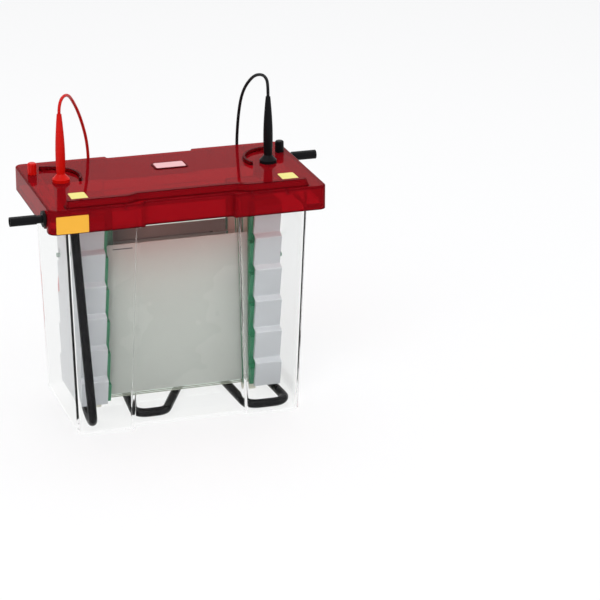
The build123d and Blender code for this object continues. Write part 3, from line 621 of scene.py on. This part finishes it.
class GELTANK_OT_stage(bpy.types.Operator):
    """Table, studio light and the camera."""

    bl_idname = "geltank.stage"
    bl_label = "Stage"

    def execute(self, context):
        settings = context.scene.geltank_stage
        self.add_floor(settings)
        self.add_world()
        for lamp in LAMPS:
            self.add_lamp(*lamp)
        self.add_camera(context, settings)
        context.scene.view_settings.view_transform = "Standard"
        return {"FINISHED"}

    def add_floor(self, settings):
        """A pale table that stays white for the camera and keeps its shadows."""
        deselect()
        bpy.ops.mesh.primitive_plane_add(size=TABLE_SIZE, location=TABLE_CENTRE)
        floor = bpy.context.object
        floor.name = "table"
        seat(floor)
        material, tree, shader = new_material("Pale table")
        shader.inputs["Base Color"].default_value = (*settings.floor, 1)
        shader.inputs["Roughness"].default_value = 0.7
        glow = tree.nodes.new("ShaderNodeEmission")
        glow.inputs["Color"].default_value = WHITE
        glow.inputs["Strength"].default_value = 1.0
        mixer = tree.nodes.new("ShaderNodeMixShader")
        tree.links.new(self.seen_rays(tree, TABLE_GLOW), mixer.inputs[0])
        tree.links.new(shader.outputs[0], mixer.inputs[1])
        tree.links.new(glow.outputs[0], mixer.inputs[2])
        tree.links.new(mixer.outputs[0], tree.nodes["Material Output"].inputs["Surface"])
        floor.data.materials.append(material)

    def seen_rays(self, tree, share):
        """A share for rays from the camera, a reflection or through glass, else nothing."""
        rays = tree.nodes.new("ShaderNodeLightPath")
        first = tree.nodes.new("ShaderNodeMath")
        first.operation = "MAXIMUM"
        tree.links.new(rays.outputs["Is Camera Ray"], first.inputs[0])
        tree.links.new(rays.outputs["Is Glossy Ray"], first.inputs[1])
        second = tree.nodes.new("ShaderNodeMath")
        second.operation = "MAXIMUM"
        tree.links.new(first.outputs[0], second.inputs[0])
        tree.links.new(rays.outputs["Is Transmission Ray"], second.inputs[1])
        scaled = tree.nodes.new("ShaderNodeMath")
        scaled.operation = "MULTIPLY"
        tree.links.new(second.outputs[0], scaled.inputs[0])
        scaled.inputs[1].default_value = share
        return scaled.outputs[0]

    def add_world(self):
        """A soft even sky, white where the camera or a reflection sees it."""
        world = bpy.data.worlds.new("Studio")
        bpy.context.scene.world = world
        world.use_nodes = True
        tree = world.node_tree
        soft = tree.nodes["Background"]
        soft.inputs["Color"].default_value = SKY_COLOUR
        soft.inputs["Strength"].default_value = SKY_STRENGTH
        white = tree.nodes.new("ShaderNodeBackground")
        white.inputs["Color"].default_value = WHITE
        white.inputs["Strength"].default_value = 1.0
        mixer = tree.nodes.new("ShaderNodeMixShader")
        tree.links.new(self.seen_rays(tree, 1.0), mixer.inputs[0])
        tree.links.new(soft.outputs[0], mixer.inputs[1])
        tree.links.new(white.outputs[0], mixer.inputs[2])
        tree.links.new(mixer.outputs[0], tree.nodes["World Output"].inputs["Surface"])

    def add_lamp(self, name, place, size, power):
        """A square soft box that faces the middle of the unit."""
        lamp = bpy.data.lights.new(name, "AREA")
        lamp.size = size
        lamp.energy = power
        box = bpy.data.objects.new(name, lamp)
        bpy.context.scene.collection.objects.link(box)
        box.location = place
        aim = Vector(LAMP_AIM) - Vector(place)
        box.rotation_euler = aim.to_track_quat("-Z", "Y").to_euler()

    def add_camera(self, context, settings):
        """The photograph's viewpoint: front left, slightly from above."""
        yaw, pitch, roll = (math.radians(angle) for angle in CAMERA_ANGLES)
        ahead = Vector((
            math.sin(yaw) * math.cos(pitch), math.cos(yaw) * math.cos(pitch), -math.sin(pitch)))
        level = Vector((math.cos(yaw), -math.sin(yaw), 0))
        above = level.cross(ahead)
        right = math.cos(roll) * level + math.sin(roll) * above
        up = math.cos(roll) * above - math.sin(roll) * level
        place = -ahead * settings.distance + right * CAMERA_RIGHT + up * CAMERA_UP
        camera = bpy.data.cameras.new("Camera")
        camera.lens = settings.lens
        camera.sensor_width = SENSOR_WIDTH
        camera.shift_x, camera.shift_y = CAMERA_SHIFT
        camera.clip_end = FAR_CLIP
        eye = bpy.data.objects.new("Camera", camera)
        context.scene.collection.objects.link(eye)
        turn = Matrix((right, up, -ahead)).transposed()
        eye.location = place
        eye.rotation_euler = turn.to_euler()
        context.scene.camera = eye


class GELTANK_OT_leads(bpy.types.Operator):
    """Red and black silicone leads, each put away in a tied coil behind the tank."""

    bl_idname = "geltank.leads"
    bl_label = "Leads"

    def execute(self, context):
        settings = context.scene.geltank_leads
        for colour, lead in LEADS.items():
            shade = settings.red if colour == "red" else settings.black
            material = moulded(
                "Silicone " + colour, shade, gloss=(0.32, 0.42), tone=0.08, peel=0.05, specular=0.1)
            cord = make_lead(colour + "_lead_cord", lead, settings.diameter, material)
            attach(cord, colour + "_plug")
            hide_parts(colour + "_lead", colour + "_lead_coil", colour + "_lead_tail")
        return {"FINISHED"}


class GELTANK_OT_plates(bpy.types.Operator):
    """Bare plates on the lid, and the fill mark on the tank."""

    bl_idname = "geltank.plates"
    bl_label = "Bare plates and fill mark"

    def execute(self, context):
        for name, look in PLATE_FINISHES.items():
            moulded(name, *look)
        for name, size, corner, place, finish, body, slot in PLATES:
            plate = rounded_plate(name, *size, corner)
            if name in UPRIGHT_PLATES:
                plate.rotation_euler = (UPRIGHT, 0, 0)
            plate.location = place
            finish_mesh(plate, name, body, bpy.data.materials[finish])
        return {"FINISHED"}


class GELTANK_OT_soft_parts(bpy.types.Operator):
    """Gel slabs, rubber seals and the coils' straps, with their edges rounded over."""

    bl_idname = "geltank.soft_parts"
    bl_label = "Gels, seals and straps"

    def execute(self, context):
        shell = context.scene.geltank_shell
        gel = moulded(
            "Cloudy gel", shell.gel, gloss=(0.2, 0.35), tone=0.06, peel=0.0, cloud_scale=9.0)
        seal, strap = (moulded(name, *look) for name, look in SOFT_FINISHES.items())
        for side in ("front", "back"):
            node = side + "_gel"
            piece = self.slab(node)
            rounded_edges(piece, *GEL_ROUNDING)
            finish_mesh(piece, side + "_gel_slab", "gel_module", gel)
            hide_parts(node)
            node = side + "_gasket"
            piece = node_copy(node)
            rounded_edges(piece, *SEAL_ROUNDING)
            finish_mesh(piece, side + "_seal", "gel_module", seal)
            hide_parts(node)
        for colour in LEADS:
            node = colour + "_lead_tie"
            piece = node_copy(node)
            rounded_edges(piece, *STRAP_ROUNDING)
            finish_mesh(piece, colour + "_strap", colour + "_plug", strap)
            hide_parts(node)
        return {"FINISHED"}

    def slab(self, node):
        """A plain slab that fills a node's box."""
        low, high = (Vector(corner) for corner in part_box(node))
        deselect()
        bpy.ops.mesh.primitive_cube_add(size=1, location=(low + high) / 2)
        piece = bpy.context.object
        piece.scale = high - low
        return seat(piece)


class GELTANK_OT_finishes(bpy.types.Operator):
    """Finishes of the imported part's own pieces."""

    bl_idname = "geltank.finishes"
    bl_label = "Finishes"

    def execute(self, context):
        shell = context.scene.geltank_shell
        finishes = {
            "tank_clear": clear(
                "Clear acrylic", shell.tank, (0.98, 0.98, 0.98), ior=1.14, specular=0.14,
                wave=0.03),
            "lid_red": clear(
                "Red acrylic", shell.lid, (0.97, 0.90, 0.85), ior=1.08, specular=0.1,
                gloss=(0.03, 0.10), wave=0.04, see_through=0.66,
                depth_tint=(0.80, 0.12, 0.16), depth=300.0, edge_shade=shell.lid_edge_shade),
            "plate_glass": clear(
                "Plate glass", shell.plate, (0.97, 0.98, 0.97), ior=1.3, specular=0.2,
                gloss=(0.0, 0.03)),
            "clamp_white": moulded(
                "Clamp white", shell.clamp, gloss=(0.32, 0.46), tone=0.05, peel=0.08),
            "bar_green": moulded(
                "Bar green", shell.bar, gloss=(0.3, 0.42), tone=0.12, peel=0.08),
        }
        for slot, look in PLASTICS.items():
            finishes[slot] = moulded(*look)
        for slot, (name, colour, gloss, peel) in METALS.items():
            finishes[slot] = moulded(name, colour, gloss, peel=peel, metallic=1.0)
        for slot, name in REPLACED.items():
            finishes[slot] = bpy.data.materials[name]
        for subpart in frame["record"]["subparts"]:
            node = frame["nodes"][subpart["node"]]
            node.data.materials.clear()
            node.data.materials.append(finishes[subpart["material_slot"]])
        return {"FINISHED"}


class GELTANK_PT_panel(bpy.types.Panel):
    """Lists the steps in the order in which they run."""

    bl_label = "Gel tank"
    bl_idname = "GELTANK_PT_panel"
    bl_space_type = "VIEW_3D"
    bl_region_type = "UI"
    bl_category = "Gel tank"

    def draw(self, context):
        for step in STEPS:
            self.layout.operator(step.bl_idname)
        for group in ("geltank_stage", "geltank_leads", "geltank_shell"):
            settings = getattr(context.scene, group)
            for field in settings.bl_rna.properties.keys():
                if field not in ("rna_type", "name"):
                    self.layout.prop(settings, field)


STEPS = (
    GELTANK_OT_stage, GELTANK_OT_soft_parts, GELTANK_OT_leads, GELTANK_OT_plates,
    GELTANK_OT_finishes,
)
CLASSES = (LeadSettings, ShellSettings, StageSettings, *STEPS, GELTANK_PT_panel)


def register():
    for item in CLASSES:
        bpy.utils.register_class(item)
    bpy.types.Scene.geltank_leads = bpy.props.PointerProperty(type=LeadSettings)
    bpy.types.Scene.geltank_shell = bpy.props.PointerProperty(type=ShellSettings)
    bpy.types.Scene.geltank_stage = bpy.props.PointerProperty(type=StageSettings)


def unregister():
    del bpy.types.Scene.geltank_stage
    del bpy.types.Scene.geltank_shell
    del bpy.types.Scene.geltank_leads
    for item in reversed(CLASSES):
        bpy.utils.unregister_class(item)


def main():
    register()
    moulded_skin_group()
    polished_sheet_group()
    edge_band_group()
    bpy.ops.geltank.stage()
    bpy.ops.geltank.soft_parts()
    bpy.ops.geltank.leads()
    bpy.ops.geltank.plates()
    bpy.ops.geltank.finishes()


if __name__ == "__main__":
    main()
